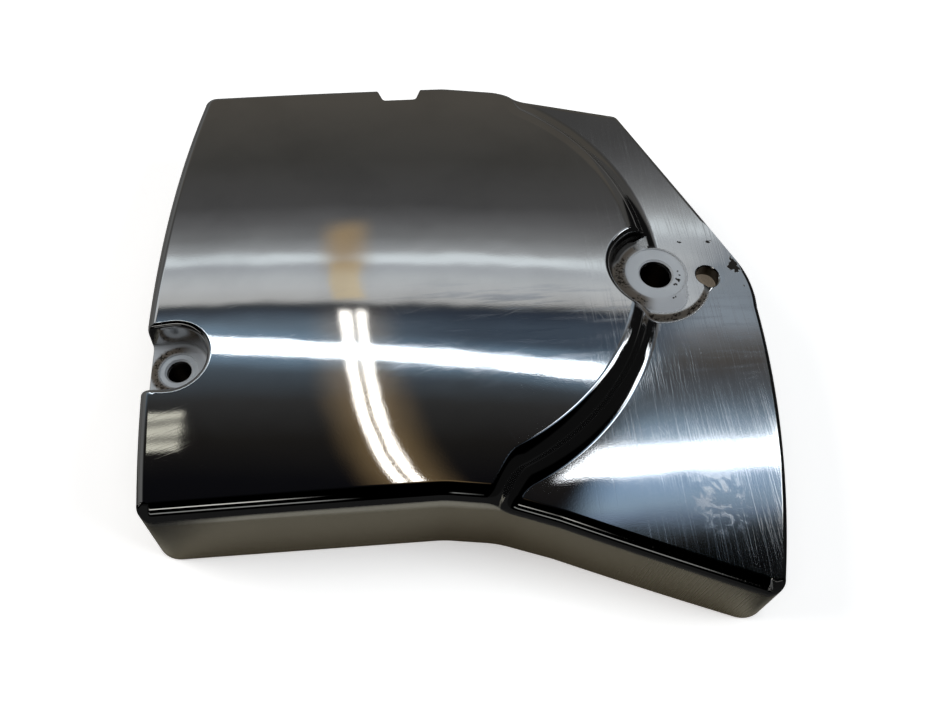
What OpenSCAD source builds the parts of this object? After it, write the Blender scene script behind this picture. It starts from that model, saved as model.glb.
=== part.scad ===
// Sprocket cover of a motorcycle: one polished aluminium casting, lying face up on its rim.
// The origin is the axis of the main bolt, in the mounting plane. The face looks up.

/* [Wall] */
// Thickness of the cast wall
wall = 3.5; // [3:0.25:4]
// Rounding of the lower edge of the face
lower_round = 4; // [3:0.5:6]
// Rounding of the left and the upper edge of the face
side_round = 3; // [2:0.5:4]
// Rounding of the right edge of the face
right_round = 1.6; // [1.2:0.2:2.5]
// How much wider the rim is than the face, as a factor along X
flare_x = 1.045; // [1:0.005:1.06]
// How much taller the rim is than the face, as a factor along Y
flare_y = 1.02; // [1:0.005:1.03]

/* [Raised face] */
// Highest point of the raised face above the mounting plane
face_z = 35.5; // [34:0.25:38]
// Radius of the crown from the lower to the upper edge
crown_y = 900; // [600:50:1500]
// Radius of the crown from left to right
crown_x = 2500; // [1500:100:5000]
// Centre of the round bulge, along X
bulge_x = -74; // [-78:0.5:-70]
// Centre of the round bulge, along Y
bulge_y = 9; // [5:0.5:12]
// Radius of the bulge, half way down its step
bulge_r = 71.8; // [70:0.2:73]
// Width of the step from the bulge to the wing
step_w = 9.5; // [8:0.5:11]

/* [Wing] */
// Height of the lower wing beside the main bolt
wing_z = 29.8; // [28:0.2:30.4]
// Rise of the wing towards its upper end, for each millimetre
wing_rise = 0.03; // [0:0.005:0.05]
// Radius of the wing's crown
wing_crown = 4000; // [2000:200:8000]

/* [Main bolt] */
// Bore for the main bolt
main_bore_d = 9.4; // [8.5:0.1:10.5]
// Height of the machined pad round the main bolt
main_pad_z = 30.8; // [30.4:0.1:31.4]
// Radius of the pad on the wing
main_pad_r = 15.5; // [15:0.25:16.5]
// Radius of the pocket that the pad cuts into the bulge
main_pocket_r = 14.2; // [13:0.2:14.6]
// Diameter of the post under the main bolt
main_post_d = 19; // [16:0.5:22]

/* [Edge bolt] */
// Place of the edge bolt along X
edge_bolt_x = -135.8; // [-137:0.1:-134]
// Place of the edge bolt along Y
edge_bolt_y = -20.3; // [-24:0.1:-16]
// Bore for the edge bolt
edge_bore_d = 6.6; // [6.2:0.1:7.4]
// Height of the floor of its pocket
edge_floor_z = 25.8; // [24:0.2:27]
// Radius of its pocket
edge_pocket_r = 9.4; // [8.6:0.2:10.4]
// Diameter of the post under the edge bolt
edge_post_d = 12; // [11:0.5:12.5]

/* [Small hole] */
// Place of the small hole along X
small_x = 15.1; // [14.5:0.1:16]
// Place of the small hole along Y
small_y = -1.7; // [-3:0.1:0]
// Diameter of the small hole
small_d = 7; // [6:0.1:7.6]

/* [Notch] */
// Middle of the notch in the upper edge
notch_x = -71.7; // [-80:0.1:-64]
// Depth of the notch
notch_deep = 5.8; // [4:0.2:6]
// Width of the notch at its bottom
notch_w = 10; // [8:0.2:12]

/* [Hidden] */
smooth = 96;
sky = 60;

// Pockets: fillet at the floor, rounding of the lip, and how far the wall leans out on its way up
pocket_fillet = 1.6;
pocket_lip = 1.5;
pocket_lean = 0.9;
// The edge bolt's pocket runs out through the left wall, a little narrower than it is round
mouth_reach = 20;
mouth_share = 0.97;
// Height of the face where each pocket cuts it, and the tops of the walls under it
main_lip_z = face_z - 0.6;
edge_lip_z = face_z - 1.4;
main_cup_top = main_lip_z - 1.6;
edge_cup_top = edge_lip_z - 3.6;
// Spot faces round the bores
spot_deep = 0.3;
chamfer = 0.5;
main_spot_d = 17.4;
edge_spot_d = 10.2;
pad_slope = 0.9;
// The notch's sides lean outwards by this much
upper_edge_y = 79.8;
notch_lean = 2.2;

finish = [0.78, 0.79, 0.80];

// Crowns of the two faces, each from the point where it is highest
crown_mid = [-60, 5];
// Corners of the face's outline, anticlockwise from the lower left one: x, y, rounding of the corner
// at the top of the skirt and at the rim, and for the side that follows it: rounding of its edge, bow,
// the pieces it is cut into, and how those pieces crowd: 1 evenly, more towards the side's start, less
// towards its end
corners = [
    [-141.4, -63.8, 4, 7, lower_round, 0, 14, 1],
    [-66, -64, 30, 30, lower_round, 0, 5, 1],
    [-52, -66.1, 30, 30, lower_round, 0, 5, 1],
    [-38, -71.3, 30, 30, lower_round, 0.2, 7, 1],
    [15, -93.8, 4, 7, right_round, 2.8, 13, 1.8],
    [29.3, -3.6, 30, 30, right_round, 0, 7, 1],
    [-1, 65, 5, 5, side_round, 0, 4, 1],
    [-30.6, 73.2, 8, 8, side_round, 0, 2, 1],
    [-40, 76.8, 12, 12, side_round, 0, 2, 1],
    [-57, 79.6, 20, 20, side_round, 0, 8, 1],
    [-135.3, 80.2, 4, 4, side_round, 4.5, 18, -1.7],
];
top_column = 2;
rim_column = 3;
// Centre that the rim's flare spreads from
flare_mid = [-57, -5];
// Left end of the straight spine that the face's sections fan out from
spine_end_x = -108;
// The bulge's step runs out into the edges between these two directions, above and below
upper_out = [54, 66];
lower_out = [-66, -81];
// How far the step's circle swings out past the edge
step_swing = 11;
// Distances from the spine of the sections inside the step
inner_stations = [14, 34, 50, 59];
step_pieces = 8;
edge_pieces = 6;
inner_edge_pieces = 2;
corner_pieces = 5;

function ease(t) = let (u = min(1, max(0, t))) u * u * (3 - 2 * u);
function unit(v) = v / norm(v);
function left_of(v) = [-v[1], v[0]];
function mix(a, b, t) = a + (b - a) * t;

// One corner of the outline as an arc that is tangent to both sides, each point with its edge rounding
function corner_arc(a, p, b, r, edge, next_edge) =
    let (
        u = unit([p[0] - a[0], p[1] - a[1]]),
        v = unit([b[0] - p[0], b[1] - p[1]]),
        turn = atan2(u[0] * v[1] - u[1] * v[0], u * v),
        side = turn > 0 ? 1 : -1,
        reach = r * tan(abs(turn) / 2),
        start = [p[0], p[1]] - u * reach,
        mid = start + left_of(u) * r * side,
        pieces = abs(turn) > 50 ? corner_pieces : 3
    )
    [for (k = [0:pieces]) let (
        angle = turn * k / pieces,
        arm = -left_of(u) * side * r,
        turned = [arm[0] * cos(angle) - arm[1] * sin(angle), arm[0] * sin(angle) + arm[1] * cos(angle)]
    ) [mid[0] + turned[0], mid[1] + turned[1], mix(edge, next_edge, k / pieces)]];

function corner(k) = corners[(k + len(corners)) % len(corners)];
function arcs(column) = [for (k = [0:len(corners) - 1])
    corner_arc(corner(k - 1), corner(k), corner(k + 1), corner(k)[column], corner(k - 1)[4], corner(k)[4])];

function crowded(t, crowd) = crowd > 0 ? pow(t, crowd) : 1 - pow(1 - t, -crowd);

// Points between two corner arcs, bowed outwards
function side_points(k, arc, next) =
    let (
        a = arc[len(arc) - 1],
        b = next[0],
        pieces = corner(k)[6],
        out = -left_of(unit([b[0] - a[0], b[1] - a[1]]))
    )
    pieces < 2 ? [] : [for (m = [1:pieces - 1]) let (
        t = crowded(m / pieces, corner(k)[7]),
        bow = 4 * t * (1 - t) * corner(k)[5]
    )
        [mix(a[0], b[0], t) + out[0] * bow, mix(a[1], b[1], t) + out[1] * bow, corner(k)[4]]];

function closed_outline(arcs) = [for (k = [0:len(arcs) - 1])
    each concat(arcs[k], side_points(k, arcs[k], arcs[(k + 1) % len(arcs)]))];
outline = closed_outline(arcs(top_column));
rim = closed_outline(arcs(rim_column));
count = len(outline);
function point(i) = let (p = outline[(i + count) % count]) [p[0], p[1]];
function edge_round(i) = outline[(i + count) % count][2];

// Every section starts on the spine and ends on the outline
function foot(i) = [min(bulge_x, max(spine_end_x, point(i)[0])), bulge_y];
function reach(i) = norm(point(i) - foot(i));
function ray(i) = unit(point(i) - foot(i));
// How much longer a way along the section is than one straight in from the edge
function slant(i) = let (along = unit(point(i + 1) - point(i - 1)))
    1 / max(0.45, abs(ray(i) * left_of(along)));

// The bulge's circle swings past the edge where its step runs out into it
function bulge_way(p) = let (direction = atan2(p[1] - bulge_y, p[0] - bulge_x))
    bulge_r + step_swing * (
        direction > 0 ? ease((direction - upper_out[0]) / (upper_out[1] - upper_out[0]))
                      : ease((direction - lower_out[0]) / (lower_out[1] - lower_out[0])));
function bulge_distance(p) =
    p[0] < bulge_x ? abs(p[1] - bulge_y) - bulge_r - step_swing
                   : norm([p[0] - bulge_x, p[1] - bulge_y]) - bulge_way(p);

// The step's section is two arcs that meet half way down: 0 on the bulge, 1 at its foot
step_turn = 2 * atan((face_z - wing_z) / step_w);
step_round = step_w / (2 * sin(step_turn));
function arc_drop(t) = step_round - sqrt(pow(step_round, 2) - pow(t * step_w / 2, 2));
function step_share(d) = let (t = min(1, max(-1, 2 * d / step_w)), half = arc_drop(1))
    t < 0 ? arc_drop(t + 1) / (2 * half) : 1 - arc_drop(1 - t) / (2 * half);

function raised_z(p) =
    face_z - pow(p[1] - crown_mid[1], 2) / (2 * crown_y) - pow(p[0] - crown_mid[0], 2) / (2 * crown_x);
function low_z(p) = wing_z + wing_rise * p[1] - pow(p[1], 2) / (2 * wing_crown);
function face_height(p) = mix(raised_z(p), low_z(p), step_share(bulge_distance(p)));

// Distances along section i, from the spine out to the edge
function stations(i, edge, pieces, inset, step_count) =
    let (
        last = reach(i) - (edge + inset) * slant(i),
        step_in = min(bulge_way(point(i)) - step_w / 2, last - 9),
        step_out = min(bulge_way(point(i)) + step_w / 2, last - 3)
    )
    concat(
        [for (s = inner_stations) s * step_in / (bulge_r - step_w / 2)],
        [for (k = [0:step_count]) mix(step_in, step_out, k / step_count)],
        [mix(step_out, last, 0.5)],
        [for (k = [pieces:-1:0]) reach(i) - (edge * (1 - cos(90 * k / pieces)) + inset) * slant(i)]);

function drops(edge, pieces, step_count) = concat(
    [for (k = [0:len(inner_stations) + step_count + 1]) 0],
    [for (k = [pieces:-1:0]) edge * (1 - sin(90 * k / pieces))]);

// One closed section curve of the skin, at a depth below the polished face
function skin_row(i, edge, pieces, inset, depth, step_count) =
    let (ways = stations(i, edge, pieces, inset, step_count), falls = drops(edge, pieces, step_count))
    [for (k = [0:len(ways) - 1]) let (p = foot(i) + ray(i) * ways[k])
        [p[0], p[1], face_height(p) - falls[k] - depth]];

function flared(p) = [
    flare_mid[0] + (p[0] - flare_mid[0]) * flare_x,
    flare_mid[1] + (p[1] - flare_mid[1]) * flare_y, 0];

// Rows run from the middle of the face over the edge to the rim, and back up inside to the middle
function inner_edge(i) = max(1, edge_round(i) - wall);
rows = [for (i = [0:count - 1])
    let (
        outer = skin_row(i, edge_round(i), edge_pieces, 0, 0, step_pieces),
        inner = skin_row(i, inner_edge(i), inner_edge_pieces, wall, wall, step_pieces / 2),
        rim_point = [rim[i][0], rim[i][1]],
        inside_rim = rim_point - ray(i) * wall * slant(i)
    )
    concat(outer, [flared(rim_point)], [flared(inside_rim)], [for (k = [len(inner) - 1:-1:0]) inner[k]])];
depth_count = len(rows[0]);
skin_mid = [(spine_end_x + bulge_x) / 2, bulge_y];

module shell() {
    points = concat(
        [for (row = rows) each row],
        [[skin_mid[0], skin_mid[1], face_height(skin_mid)]],
        [[skin_mid[0], skin_mid[1], face_height(skin_mid) - wall]]);
    top = count * depth_count;
    under = top + 1;
    faces = concat(
        [for (i = [0:count - 1]) each [for (k = [0:depth_count - 2])
            let (
                a = i * depth_count + k,
                b = ((i + 1) % count) * depth_count + k
            )
            each point(i)[1] < bulge_y ? [[a, b, a + 1], [b, b + 1, a + 1]]
                                       : [[a, b, b + 1], [a, b + 1, a + 1]]]],
        [for (i = [0:count - 1]) [top, ((i + 1) % count) * depth_count, i * depth_count]],
        [for (i = [0:count - 1])
            [under, i * depth_count + depth_count - 1, ((i + 1) % count) * depth_count + depth_count - 1]]);
    polyhedron(points = points, faces = faces, convexity = 6);
}

// Half of a pocket's section: flat floor, small fillet, leaning wall and rounded lip
function pocket_section(radius, depth) = concat(
    [for (k = [0:4]) let (a = 84 * k / 4)
        [radius - pocket_lean - pocket_fillet * (1 - sin(a)), pocket_fillet * (1 - cos(a))]],
    [for (k = [0:4]) let (a = 90 * k / 4)
        [radius + pocket_lip * (1 - cos(a)), depth - pocket_lip * (1 - sin(a))]],
    [[radius + pocket_lip, sky]]);

module round_pocket(radius, depth) {
    rotate_extrude($fn = smooth)
    polygon(concat([[0, 0]], pocket_section(radius, depth), [[0, sky]]));
}

module pocket_mouth(radius, depth) {
    half = pocket_section(radius, depth);
    other_half = [for (k = [len(half) - 1:-1:0]) [-half[k][0], half[k][1]]];
    rotate([90, 0, -90])
    linear_extrude(mouth_reach)
    polygon(concat(half, other_half));
}

module edge_pocket() {
    round_pocket(edge_pocket_r, edge_lip_z - edge_floor_z);
    pocket_mouth(edge_pocket_r * mouth_share, edge_lip_z - edge_floor_z);
}

// Wall of the edge bolt's pocket, inside the shell
module edge_cup() {
    cup_r = edge_pocket_r + wall;
    intersection() {
        union() {
            cylinder(r = cup_r, h = edge_cup_top - edge_floor_z + wall, $fn = smooth);
            translate([-mouth_reach, -cup_r * mouth_share, 0])
            cube([mouth_reach, 2 * cup_r * mouth_share, edge_cup_top - edge_floor_z + wall]);
        }
        translate([-edge_bolt_x, -edge_bolt_y, -1])
        linear_extrude(sky)
        polygon([for (p = outline) mix(flare_mid, [p[0], p[1]], 0.99)]);
    }
}

// Wall of the main bolt's pocket, under the bulge
module main_cup() {
    intersection() {
        translate([0, 0, main_pad_z - wall])
        cylinder(r = main_pocket_r + wall, h = main_cup_top - main_pad_z + wall, $fn = smooth);
        translate([bulge_x, bulge_y, 0])
        cylinder(r = bulge_r - 1.5, h = sky, $fn = 2 * smooth);
    }
}

// The machined pad round the main bolt, with a sloping edge down to the wing
module main_pad() {
    translate([0, 0, main_pad_z - wall])
    cylinder(r1 = main_pad_r + wall * pad_slope, r2 = main_pad_r, h = wall, $fn = smooth);
}

// A bore with a spot face and a small chamfer, from the mounting plane up to its seat
module bolt_hole(diameter, seat_z, spot_d) {
    translate([0, 0, -1])
    cylinder(d = diameter, h = sky, $fn = smooth);
    translate([0, 0, seat_z - spot_deep - chamfer])
    cylinder(d1 = diameter, d2 = diameter + 2 * chamfer, h = chamfer, $fn = smooth);
    translate([0, 0, seat_z - spot_deep])
    cylinder(d = spot_d, h = 1, $fn = smooth);
}

// The notch for a cable in the upper edge, open outwards
module notch() {
    inner_y = upper_edge_y - notch_deep;
    translate([notch_x, 0, -1])
    linear_extrude(sky)
    polygon([
        [-notch_w / 2, inner_y],
        [notch_w / 2, inner_y],
        [notch_w / 2 + notch_lean, upper_edge_y],
        [notch_w / 2 + notch_lean, upper_edge_y + notch_deep],
        [-notch_w / 2 - notch_lean, upper_edge_y + notch_deep],
        [-notch_w / 2 - notch_lean, upper_edge_y]]);
}

module at_edge_bolt(z) {
    translate([edge_bolt_x, edge_bolt_y, z]) children();
}

module sprocket_cover() {
    color(finish)
    difference() {
        union() {
            shell();
            cylinder(d = main_post_d, h = main_pad_z - wall / 2, $fn = smooth);
            main_pad();
            main_cup();
            at_edge_bolt(0) cylinder(d = edge_post_d, h = edge_floor_z - wall / 2, $fn = smooth);
            at_edge_bolt(edge_floor_z - wall) edge_cup();
        }
        translate([0, 0, main_pad_z]) round_pocket(main_pocket_r, main_lip_z - main_pad_z);
        at_edge_bolt(edge_floor_z) edge_pocket();
        bolt_hole(main_bore_d, main_pad_z, main_spot_d);
        at_edge_bolt(0) bolt_hole(edge_bore_d, edge_floor_z, edge_spot_d);
        translate([small_x, small_y, -1]) cylinder(d = small_d, h = sky, $fn = smooth);
        notch();
    }
}

sprocket_cover();
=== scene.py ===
"""Sprocket cover: the looks of the polished casting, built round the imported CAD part."""

import math

import bpy
import numpy as np
from mathutils import Matrix, Vector
from mathutils.geometry import delaunay_2d_cdt


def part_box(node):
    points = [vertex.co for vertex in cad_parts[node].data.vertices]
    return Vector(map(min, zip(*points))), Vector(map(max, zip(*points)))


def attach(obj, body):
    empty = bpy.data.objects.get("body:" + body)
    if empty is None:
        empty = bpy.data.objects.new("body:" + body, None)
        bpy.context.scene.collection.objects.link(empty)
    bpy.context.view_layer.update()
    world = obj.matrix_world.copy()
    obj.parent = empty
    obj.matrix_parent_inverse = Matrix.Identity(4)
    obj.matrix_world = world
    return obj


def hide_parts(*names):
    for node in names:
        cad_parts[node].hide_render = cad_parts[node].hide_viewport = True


bl_info = {
    "name": "Sprocket Cover",
    "version": (1, 0, 0),
    "blender": (4, 5, 0),
    "location": "View3D > Sidebar > Cover",
    "description": "Builds a polished sprocket cover round its CAD part",
    "category": "Object",
}

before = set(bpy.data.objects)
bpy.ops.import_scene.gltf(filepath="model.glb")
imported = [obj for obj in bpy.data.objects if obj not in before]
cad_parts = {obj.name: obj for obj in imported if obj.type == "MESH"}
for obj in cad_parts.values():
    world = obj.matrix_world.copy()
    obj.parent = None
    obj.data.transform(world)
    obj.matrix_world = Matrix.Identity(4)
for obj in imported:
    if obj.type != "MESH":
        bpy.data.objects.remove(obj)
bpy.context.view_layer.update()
NODE = "sprocket_cover"
MM = 0.001
CAD_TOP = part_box(NODE)[1].z

# Shape of the face in millimetres, with the origin on the main bolt's axis
CROWN_Y, CROWN_X = 900, 2500
CROWN_MID = (-60, 5)
BULGE = (-74, 9)
STEP_SWING = 11
UPPER_OUT, LOWER_OUT = (54, 66), (-66, -81)
WING_RISE, WING_CROWN = 0.03, 4000
EDGE_BOLT = (-135.8, -20.3)
SMALL_HOLE = (15.1, -1.7)
MAIN_PAD_R = 15.5
MAIN_POST_R, EDGE_POST_R = 9.5, 6.0
MAIN_SPOT_R, EDGE_SPOT_R = 8.7, 5.1
MOUTH_SHARE = 0.97
POCKET_LEAN, POCKET_FILLET, POCKET_LIP = 0.9, 1.6, 1.5
POCKET_FILLET_TURN = math.radians(84)
CHAMFER, SPOT_DEEP = 0.5, 0.3
FLARE_MID, FLARE = (-57, -5), (1.045, 1.02)
NOTCH_X, NOTCH_W, NOTCH_DEEP, NOTCH_LEAN, UPPER_EDGE_Y = -71.7, 10.6, 6.8, 2.4, 79.8
# Rows of points across a pocket's wall and its foot, counted outwards from the fillet
WALL_ROWS = (0, 0.25, 0.5, 0.75, 1.0, 1.2, 1.35, 1.48, 1.58, 1.9, 2.2, 2.48)
# Chips and pits in the wing's surface: place and radius
CHIPS = (
    (22.9, 1.4, 29.9, 1.0),
    (24.0, 2.8, 29.9, 1.1),
    (24.4, 0.8, 29.9, 1.0),
    (23.7, 4.2, 29.9, 0.6),
    (25.1, -5.1, 29.6, 0.35),
    (9.1, 11.0, 30.6, 0.3),
    (17.0, 10.8, 30.2, 0.3),
    (18.0, 10.6, 30.2, 0.35),
    (19.0, 10.9, 30.1, 0.25),
    (6.3, 0.6, 30.5, 0.3),
    (6.9, -0.8, 30.5, 0.4),
    (6.0, -2.6, 30.5, 0.45),
    (5.0, -4.1, 30.5, 0.3),
    (3.2, -8.9, 30.8, 0.35),
    (4.2, -8.6, 30.8, 0.25),
)
# Lean of the skirt where the edge rounding meets it
SKIRT_LEAN = math.radians(5)
EDGE_STEPS = 9
# Columns of the table of corners
TOP, RIM, EDGE, BOW = 2, 3, 4, 5
# Most points that are measured against the outline at once
BLOCK = 2000
MASKS = ("seat", "spot", "wall", "skirt", "grime")
# Where the wing's buffing left a swirl
SWIRL = (3.5, -69, 27.2)

# Ceiling over the bulge: the colour by the distance ahead at which a direction meets it
CEILING = (
    (0.00, 0.0),
    (0.28, (0.004, 0.004, 0.005)),
    (0.36, (0.012, 0.011, 0.010)),
    (0.44, (0.03, 0.03, 0.03)),
    (0.50, (0.06, 0.075, 0.09)),
    (0.56, (0.11, 0.15, 0.19)),
    (0.62, (0.12, 0.16, 0.20)),
    (0.655, (0.045, 0.055, 0.07)),
    (0.672, (0.045, 0.05, 0.055)),
    (0.684, (0.42, 0.42, 0.41)),
    (0.72, (0.49, 0.50, 0.505)),
    (0.75, (0.47, 0.49, 0.50)),
    (0.775, (0.40, 0.42, 0.44)),
    (0.790, (0.40, 0.42, 0.44)),
    (0.801, (0.68, 0.73, 0.75)),
    (0.818, (0.66, 0.71, 0.73)),
    (0.834, (0.34, 0.35, 0.355)),
    (0.850, (0.27, 0.28, 0.285)),
    (0.88, (0.175, 0.178, 0.18)),
    (0.93, (0.115, 0.115, 0.117)),
    (1.00, (0.065, 0.064, 0.064)),
    (1.20, (0.052, 0.050, 0.046)),
    (1.55, (0.075, 0.068, 0.058)),
)
# The same over the wing
WING_CEILING = (
    (0.00, 0.0),
    (0.165, 0.0),
    (0.18, (0.012, 0.012, 0.010)),
    (0.197, (0.045, 0.058, 0.07)),
    (0.214, (0.15, 0.20, 0.28)),
    (0.230, (0.24, 0.33, 0.42)),
    (0.262, (0.24, 0.36, 0.52)),
    (0.335, (0.26, 0.36, 0.46)),
    (0.355, (0.16, 0.22, 0.28)),
    (0.375, (0.10, 0.125, 0.15)),
    (0.395, (0.08, 0.09, 0.102)),
    (0.415, (0.06, 0.063, 0.067)),
    (0.455, (0.066, 0.058, 0.050)),
    (0.475, (0.105, 0.108, 0.110)),
    (0.496, (0.15, 0.152, 0.162)),
    (0.518, (0.24, 0.28, 0.32)),
    (0.60, (0.22, 0.25, 0.28)),
    (0.68, (0.20, 0.215, 0.235)),
    (0.82, (0.108, 0.105, 0.103)),
    (0.92, (0.078, 0.076, 0.073)),
    (1.20, (0.06, 0.058, 0.055)),
)
CEILING_REACH, WING_REACH = 1.6, 1.25
# Distance ahead from which the slanted borders over the wing are measured
WING_PIVOT = 0.282
# The bent lamp's way across the ceiling: BENT_SHIFT more than x for each y
BENT_LAMP = (
    (0.15, 0.215),
    (0.2272, 0.1692),
    (0.2532, 0.1541),
    (0.2937, 0.1362),
    (0.3456, 0.1209),
    (0.3996, 0.1081),
    (0.456, 0.0993),
    (0.5154, 0.0932),
    (0.6157, 0.0847),
    (0.70, 0.072),
    (0.82, 0.070),
)
BENT_SHIFT = 0.2
# Painted shadow and painted reflection on the floor, by how open it lies to the room: as the camera sees it,
# and as the part reflects it
FLOOR_SHADOW_TONES = ((0.0, (0.28, 0.225, 0.18)), (0.35, (0.55, 0.53, 0.52)), (0.75, (1.0, 1.0, 1.0)))
TABLE_SHADE_TONES = (
    (0.48, (0.022, 0.015, 0.007)),
    (0.60, (0.07, 0.058, 0.036)),
    (0.69, (0.20, 0.19, 0.155)),
    (0.80, (0.24, 0.23, 0.195)),
    (0.86, (0.010, 0.010, 0.010)),
)
LAMP_SIZE = (0.7, 0.7)
# Camera: turn from straight ahead, tilt down and roll in degrees, then its place and lens
CAMERA_TURN, CAMERA_TILT, CAMERA_ROLL = 8, 60, 3.5
CAMERA_PLACE, CAMERA_LENS = (-0.0703, -0.13198, 0.21906), 30.316


def ease(t):
    t = np.clip(t, 0, 1)
    return t * t * (3 - 2 * t)


def eased(value, start, width):
    """0 at start, easing to 1 over a width; a negative width runs the other way."""
    return ease((value - start) / width)


def mix(a, b, t):
    return a + (b - a) * t


def ring(radius, count, centre=(0, 0)):
    """Points of a circle, anticlockwise."""
    a = np.arange(count) * 2 * math.pi / count
    return np.stack([centre[0] + radius * np.cos(a), centre[1] + radius * np.sin(a)], -1)


class Casting:
    """The casting's outline and the heights of its face and its inside, in millimetres."""

    def __init__(self, shape):
        self.face_z = shape.face_height / MM
        self.wing_z = shape.wing_height / MM
        self.wall = shape.wall / MM
        self.bulge_r = shape.bulge_radius / MM
        self.step_w = shape.step_width / MM
        self.pad_z = shape.pad_height / MM
        self.floor_z = shape.edge_floor_height / MM
        self.main_pocket_r = shape.main_pocket_radius / MM
        self.edge_pocket_r = shape.edge_pocket_radius / MM
        self.main_bore_r = shape.main_bore / MM / 2
        self.edge_bore_r = shape.edge_bore / MM / 2
        self.small_r = shape.small_bore / MM / 2
        lower, side, right = (r / MM for r in (shape.lower_round, shape.side_round, shape.right_round))
        # x, y, rounding of the corner at the top of the skirt and at the rim, then the following
        # side's edge rounding and outward bow
        self.corners = [
            (-141.4, -63.8, 4, 7, lower, 0),
            (-66, -64, 30, 30, lower, 0),
            (-52, -66.1, 30, 30, lower, 0),
            (-38, -71.3, 30, 30, lower, 0.2),
            (15, -93.8, 4, 7, right, 2.8),
            (29.3, -3.6, 30, 30, right, 0),
            (-1, 65, 5, 5, side, 0),
            (-30.6, 73.2, 8, 8, side, 0),
            (-40, 76.8, 12, 12, side, 0),
            (-57, 79.6, 20, 20, side, 0),
            (-135.3, 80.2, 4, 4, side, 4.5),
        ]
        turn = 2 * math.atan((self.face_z - self.wing_z) / self.step_w)
        self.step_round = self.step_w / (2 * math.sin(turn))
        self.outline, self.edge_round, self.inward, mouth = self.make_outline(TOP)
        self.rim, _, self.rim_inward, _ = self.make_outline(RIM, mouth)

    def corner_arc(self, k, column):
        """Points of a corner's arc, tangent to both sides, their edge roundings and inward ways."""
        n = len(self.corners)
        before, here, after = (np.array(self.corners[(k + d) % n][:2], float) for d in (-1, 0, 1))
        radius, edge, edge_before = self.corners[k][column], self.corners[k][EDGE], self.corners[k - 1][EDGE]
        u = (here - before) / np.linalg.norm(here - before)
        v = (after - here) / np.linalg.norm(after - here)
        turn = math.atan2(u[0] * v[1] - u[1] * v[0], u @ v)
        side = 1 if turn > 0 else -1
        left = np.array([-u[1], u[0]])
        middle = here - u * radius * math.tan(abs(turn) / 2) + left * radius * side
        pieces = max(6, int(abs(turn) * self.corners[k][RIM] / 0.5))
        points, edges, inward = [], [], []
        for m in range(pieces + 1):
            a = turn * m / pieces
            inward.append(left * math.cos(a) + np.array([-left[1], left[0]]) * math.sin(a))
            points.append(middle - inward[-1] * side * radius)
            edges.append(mix(edge_before, edge, float(ease(m / pieces))))
        return points, edges, inward

    def mouth_places(self, low, high, bow):
        """Where the edge pocket's rows run out through the left side, as shares of its length."""
        marks = [EDGE_BOLT[1] + s * MOUTH_SHARE * r for s in (1, -1) for r in self.edge_rings()]
        shares = np.linspace(0, 1, 4001)
        heights = mix(low, high, shares) + bow * 4 * shares * (1 - shares)
        return np.interp(marks, heights[::-1], shares[::-1])

    def make_outline(self, column, mouth=None):
        """The outline, anticlockwise, dense where the edge pocket runs out through it.

        The rim's outline pairs point by point with the top's, so it is given the top's mouth."""
        arcs, full = ([self.corner_arc(k, c) for k in range(len(self.corners))] for c in (column, RIM))
        outline, edges, inward = [], [], []
        for k, (points, rounds, ways) in enumerate(arcs):
            outline += points
            edges += rounds
            inward += ways
            following, bow = (k + 1) % len(arcs), self.corners[k][BOW]
            a, b = points[-1], arcs[following][0][0]
            length = np.linalg.norm(b - a)
            out = np.array([b[1] - a[1], a[0] - b[0]]) / length
            count = int(np.linalg.norm(full[following][0][0] - full[k][0][-1]) / 0.8)
            t = np.linspace(0, 1, max(2, count) + 1)
            if k == len(arcs) - 1:
                if mouth is None:
                    mouth = self.mouth_places(a[1], b[1], out[1] * bow)
                t = np.unique(np.concatenate([t, mouth]))
                t = t[np.concatenate([[True], np.diff(t) > 0.0003])]
            for s in t[1:-1]:
                outline.append(mix(a, b, s) + out * 4 * s * (1 - s) * bow)
                edges.append(self.corners[k][EDGE])
                slope = (b - a) / length + out * 4 * (1 - 2 * s) * bow / length
                inward.append(np.array([-slope[1], slope[0]]) / np.linalg.norm(slope))
        return np.array(outline), np.array(edges), np.array(inward), mouth

    def edge_rings(self):
        """Distances from the edge bolt at which the pocket's section bends."""
        r = self.edge_pocket_r
        start = r - POCKET_LEAN - POCKET_FILLET
        lip = (0, 0.04, 0.15, 0.3, 0.5, 0.75, 1.05, 1.48, 1.56)
        return [start + s for s in WALL_ROWS] + [r + s for s in lip]

    def edge_distance(self, x, y):
        """Distance in from the outline, negative outside, and the edge rounding there."""
        a = self.outline
        along = np.roll(a, -1, 0) - a
        length2 = (along**2).sum(1)
        distance, rounding = np.empty(len(x)), np.empty(len(x))
        for i in range(0, len(x), BLOCK):
            block = slice(i, i + BLOCK)
            px, py = x[block, None] - a[:, 0], y[block, None] - a[:, 1]
            t = np.clip((px * along[:, 0] + py * along[:, 1]) / length2, 0, 1)
            qx, qy = px - t * along[:, 0], py - t * along[:, 1]
            d2 = qx * qx + qy * qy
            k = d2.argmin(1)
            row = np.arange(len(k))
            side = along[k, 0] * py[row, k] - along[k, 1] * px[row, k]
            distance[block] = np.sqrt(d2[row, k]) * np.where(side >= 0, 1, -1)
            rounding[block] = mix(self.edge_round[k], np.roll(self.edge_round, -1)[k], t[row, k])
        return distance, rounding

    def step_radius(self, degrees):
        """Distance of the step's middle from the bulge's centre."""
        above, below = (eased(degrees, a, b - a) for a, b in (UPPER_OUT, LOWER_OUT))
        return self.bulge_r + STEP_SWING * np.where(degrees > 0, above, below)

    def bulge_distance(self, x, y):
        """Distance out from the middle of the bulge's step."""
        way = self.step_radius(np.degrees(np.arctan2(y - BULGE[1], x - BULGE[0])))
        straight = np.abs(y - BULGE[1]) - self.bulge_r - STEP_SWING
        return np.where(x < BULGE[0], straight, np.hypot(x - BULGE[0], y - BULGE[1]) - way)

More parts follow.
